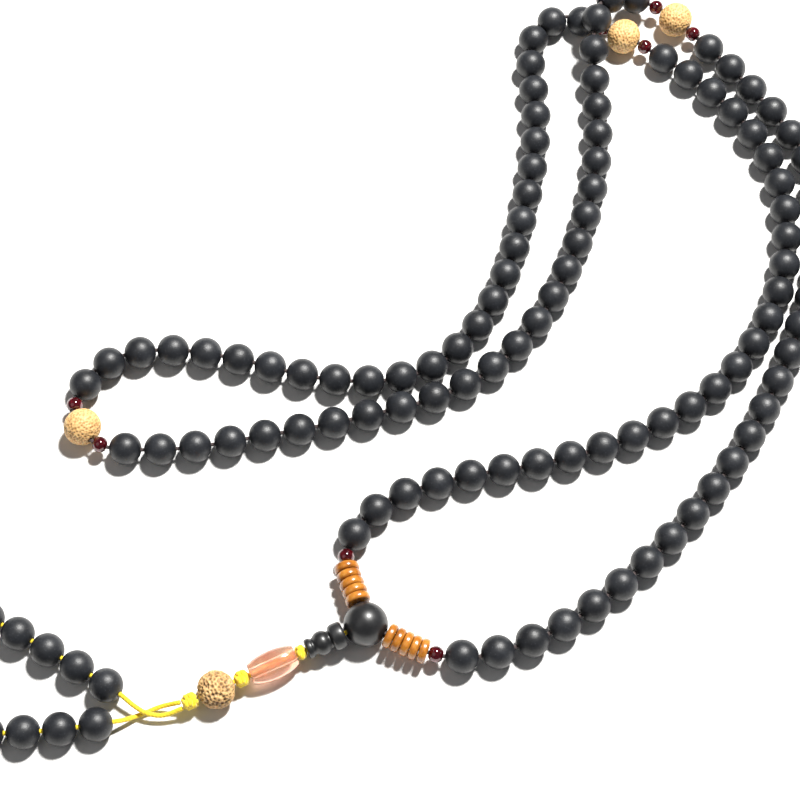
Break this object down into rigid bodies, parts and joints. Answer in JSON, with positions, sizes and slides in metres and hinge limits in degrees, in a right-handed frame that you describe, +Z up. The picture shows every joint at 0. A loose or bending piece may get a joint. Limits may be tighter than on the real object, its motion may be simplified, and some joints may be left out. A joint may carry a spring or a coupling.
{
  "type": "prayer beads",
  "caption": "Mala prayer beads laid flat: stone beads on a closed cord with marker seeds and garnets, a three-way guru bead, and a pendant with two counter strands.",
  "frame": {"origin": "centre of the guru bead's flat underside, on the surface that the mala lies on", "axes": "+Z up from the surface; +Y from the guru bead towards the top of the loops, +X towards the outer side of the right lobe"},
  "size_m": [0.2637, 0.215, 0.0143],
  "materials": {
    "stone": "matte dark grey-black stone",
    "guru_stone": "semi-gloss black stone",
    "disc": "glossy orange-brown, translucent",
    "garnet": "transparent dark red",
    "marker_seed": "pitted tan seed",
    "pendant_seed": "deeply pitted brown seed",
    "agate": "translucent peach stone",
    "yellow_cord": "plaited yellow cord",
    "dark_cord": "dark braided cord"
  },
  "bodies": {
    "crown": {"arm_a_beads_5": "stone", "upper_beads_1": "stone", "lower_beads_5": "stone", "arm_b_beads_1": "stone", "main_cord": "dark_cord"},
    "inner_right": {"arm_a_beads_2": "stone", "arm_a_beads_3": "stone", "arm_a_beads_4": "stone"},
    "guru_end": {"guru_bead": "guru_stone", "arm_a_beads_1": "stone", "arm_b_beads_5": "stone"},
    "outer_right": {"arm_b_beads_2": "stone", "arm_b_beads_3": "stone", "arm_b_beads_4": "stone"},
    "inner_left": {"lower_beads_2": "stone", "lower_beads_3": "stone", "lower_beads_4": "stone"},
    "loop_end": {"lower_beads_1": "stone", "upper_beads_5": "stone"},
    "outer_left": {"upper_beads_2": "stone", "upper_beads_3": "stone", "upper_beads_4": "stone"},
    "pendant": {"stupa_bead": "guru_stone", "ball_knot": "yellow_cord", "near_plait": "yellow_cord", "far_plait": "yellow_cord", "pendant_cord": "yellow_cord"},
    "upper_strand": {"upper_counters_1": "stone", "upper_counters_2": "stone", "upper_end_knot": "yellow_cord", "upper_strand_cord": "yellow_cord"},
    "lower_strand": {"lower_counters_1": "stone", "lower_counters_2": "stone", "lower_end_knot": "yellow_cord", "lower_strand_cord": "yellow_cord"},
    "disc_1": {"disc_1": "disc"},
    "disc_2": {"disc_2": "disc"},
    "disc_3": {"disc_3": "disc"},
    "disc_4": {"disc_4": "disc"},
    "disc_5": {"disc_5": "disc"},
    "disc_6": {"disc_6": "disc"},
    "disc_7": {"disc_7": "disc"},
    "disc_8": {"disc_8": "disc"},
    "disc_9": {"disc_9": "disc"},
    "disc_10": {"disc_10": "disc"},
    "garnet_1": {"garnet_1": "garnet"},
    "garnet_2": {"garnet_2": "garnet"},
    "garnet_3": {"garnet_3": "garnet"},
    "garnet_4": {"garnet_4": "garnet"},
    "garnet_5": {"garnet_5": "garnet"},
    "garnet_6": {"garnet_6": "garnet"},
    "garnet_7": {"garnet_7": "garnet"},
    "garnet_8": {"garnet_8": "garnet"},
    "marker_seed_1": {"marker_seed_1": "marker_seed"},
    "marker_seed_2": {"marker_seed_2": "marker_seed"},
    "marker_seed_3": {"marker_seed_3": "marker_seed"},
    "agate_barrel": {"agate_barrel": "agate"},
    "pendant_seed": {"pendant_seed": "pendant_seed"}
  },
  "joints": [
    {"name": "right_lobe_swing", "type": "hinge", "parent": "crown", "child": "inner_right", "pos_m": [0.09421, 0.14872, 0.004], "axis": [0, 0, 1], "range_deg": [-6, 0], "deforming": ["main_cord"]},
    {"name": "guru_end_swing", "type": "hinge", "parent": "inner_right", "child": "guru_end", "pos_m": [0.0211, 0.03796, 0.004], "axis": [0, 0, 1], "range_deg": [0, 6]},
    {"name": "outer_right_swing", "type": "hinge", "parent": "crown", "child": "outer_right", "pos_m": [0.11701, 0.10923, 0.004], "axis": [0, 0, 1], "range_deg": [-6, 0]},
    {"name": "left_lobe_swing", "type": "hinge", "parent": "crown", "child": "inner_left", "pos_m": [0.06044, 0.15126, 0.004], "axis": [0, 0, 1], "range_deg": [-2, 0]},
    {"name": "loop_end_swing", "type": "hinge", "parent": "inner_left", "child": "loop_end", "pos_m": [-0.02093, 0.05046, 0.004], "axis": [0, 0, 1], "range_deg": [0, 2]},
    {"name": "outer_left_swing", "type": "hinge", "parent": "crown", "child": "outer_left", "pos_m": [0.04537, 0.17338, 0.004], "axis": [0, 0, 1], "range_deg": [-2, 0]},
    {"name": "pendant_swing", "type": "hinge", "parent": "guru_end", "child": "pendant", "pos_m": [-0.00493, -0.00219, 0.00514], "axis": [0, 0, 1], "range_deg": [-12, 12], "deforming": ["pendant_cord"]},
    {"name": "upper_strand_swing", "type": "hinge", "parent": "pendant", "child": "upper_strand", "pos_m": [-0.04233, -0.01937, 0.00391], "axis": [0, 0, 1], "range_deg": [-6, 0], "deforming": ["upper_strand_cord"]},
    {"name": "lower_strand_swing", "type": "hinge", "parent": "pendant", "child": "lower_strand", "pos_m": [-0.04233, -0.01937, 0.00391], "axis": [0, 0, 1], "range_deg": [0, 6], "deforming": ["lower_strand_cord"]},
    {"name": "disc_1_spin", "type": "hinge", "parent": "guru_end", "child": "disc_1", "pos_m": [-0.00193, 0.00617, 0.00515], "axis": [-0.3059, 0.9471, -0.0976], "continuous": true},
    {"name": "disc_2_spin", "type": "hinge", "parent": "guru_end", "child": "disc_2", "pos_m": [-0.00262, 0.00816, 0.00494], "axis": [-0.3429, 0.9342, -0.0987], "continuous": true},
    {"name": "disc_3_spin", "type": "hinge", "parent": "guru_end", "child": "disc_3", "pos_m": [-0.00336, 0.01014, 0.00473], "axis": [-0.3555, 0.9296, -0.0974], "continuous": true},
    {"name": "disc_4_spin", "type": "hinge", "parent": "guru_end", "child": "disc_4", "pos_m": [-0.00405, 0.01218, 0.00452], "axis": [-0.2872, 0.9531, -0.0955], "continuous": true},
    {"name": "disc_5_spin", "type": "hinge", "parent": "guru_end", "child": "disc_5", "pos_m": [-0.0046, 0.01435, 0.00431], "axis": [-0.2043, 0.9748, -0.0899], "continuous": true},
    {"name": "disc_6_spin", "type": "hinge", "parent": "guru_end", "child": "disc_6", "pos_m": [0.0135, -0.00629, 0.00431], "axis": [-0.9434, 0.3173, 0.0962], "continuous": true},
    {"name": "disc_7_spin", "type": "hinge", "parent": "guru_end", "child": "disc_7", "pos_m": [0.0115, -0.00556, 0.00452], "axis": [-0.9253, 0.3662, 0.0984], "continuous": true},
    {"name": "disc_8_spin", "type": "hinge", "parent": "guru_end", "child": "disc_8", "pos_m": [0.00956, -0.00475, 0.00473], "axis": [-0.912, 0.398, 0.0987], "continuous": true},
    {"name": "disc_9_spin", "type": "hinge", "parent": "guru_end", "child": "disc_9", "pos_m": [0.00765, -0.00388, 0.00494], "axis": [-0.897, 0.4308, 0.0987], "continuous": true},
    {"name": "disc_10_spin", "type": "hinge", "parent": "guru_end", "child": "disc_10", "pos_m": [0.00575, -0.00295, 0.00515], "axis": [-0.8881, 0.4493, 0.0976], "continuous": true},
    {"name": "garnet_1_spin", "type": "hinge", "parent": "guru_end", "child": "garnet_1", "pos_m": [-0.00487, 0.0175, 0.0041], "axis": [-0.0124, 0.9986, -0.0513], "continuous": true},
    {"name": "garnet_2_spin", "type": "hinge", "parent": "crown", "child": "garnet_2", "pos_m": [0.07426, 0.16662, 0.00435], "axis": [-0.8189, 0.5446, 0.1812], "continuous": true},
    {"name": "garnet_3_spin", "type": "hinge", "parent": "crown", "child": "garnet_3", "pos_m": [0.06312, 0.17293, 0.00435], "axis": [-0.8427, 0.5071, -0.1805], "continuous": true},
    {"name": "garnet_4_spin", "type": "hinge", "parent": "loop_end", "child": "garnet_4", "pos_m": [-0.07237, 0.05789, 0.00435], "axis": [-0.0895, -0.9824, 0.1641], "continuous": true},
    {"name": "garnet_5_spin", "type": "hinge", "parent": "loop_end", "child": "garnet_5", "pos_m": [-0.06543, 0.04708, 0.00435], "axis": [0.937, -0.307, -0.1667], "continuous": true},
    {"name": "garnet_6_spin", "type": "hinge", "parent": "crown", "child": "garnet_6", "pos_m": [0.07798, 0.17935, 0.00502], "axis": [0.8714, -0.4897, -0.0279], "continuous": true},
    {"name": "garnet_7_spin", "type": "hinge", "parent": "crown", "child": "garnet_7", "pos_m": [0.08761, 0.17093, 0.00434], "axis": [0.6495, -0.7402, -0.1741], "continuous": true},
    {"name": "garnet_8_spin", "type": "hinge", "parent": "guru_end", "child": "garnet_8", "pos_m": [0.01636, -0.00709, 0.0041], "axis": [-0.9694, 0.2394, 0.0549], "continuous": true},
    {"name": "marker_seed_1_spin", "type": "hinge", "parent": "crown", "child": "marker_seed_1", "pos_m": [0.06871, 0.16981, 0.0047], "axis": [-0.8803, 0.4744, 0], "continuous": true},
    {"name": "marker_seed_2_spin", "type": "hinge", "parent": "loop_end", "child": "marker_seed_2", "pos_m": [-0.06998, 0.05176, 0.0047], "axis": [0.5392, -0.8422, 0], "continuous": true},
    {"name": "marker_seed_3_spin", "type": "hinge", "parent": "crown", "child": "marker_seed_3", "pos_m": [0.08302, 0.17537, 0.00482], "axis": [0.741, -0.6708, -0.0326], "continuous": true},
    {"name": "agate_barrel_spin", "type": "hinge", "parent": "pendant", "child": "agate_barrel", "pos_m": [-0.02158, -0.00974, 0.00425], "axis": [-0.9069, -0.4206, -0.0253], "continuous": true},
    {"name": "pendant_seed_spin", "type": "hinge", "parent": "pendant", "child": "pendant_seed", "pos_m": [-0.03448, -0.01576, 0.0043], "axis": [-0.9069, -0.4213, -0.002], "continuous": true}
  ],
  "couplings": [
    {"joint": "guru_end_swing", "follows": "right_lobe_swing", "ratio": -1},
    {"joint": "outer_right_swing", "follows": "right_lobe_swing", "ratio": 1},
    {"joint": "loop_end_swing", "follows": "left_lobe_swing", "ratio": -1},
    {"joint": "outer_left_swing", "follows": "left_lobe_swing", "ratio": 1}
  ]
}
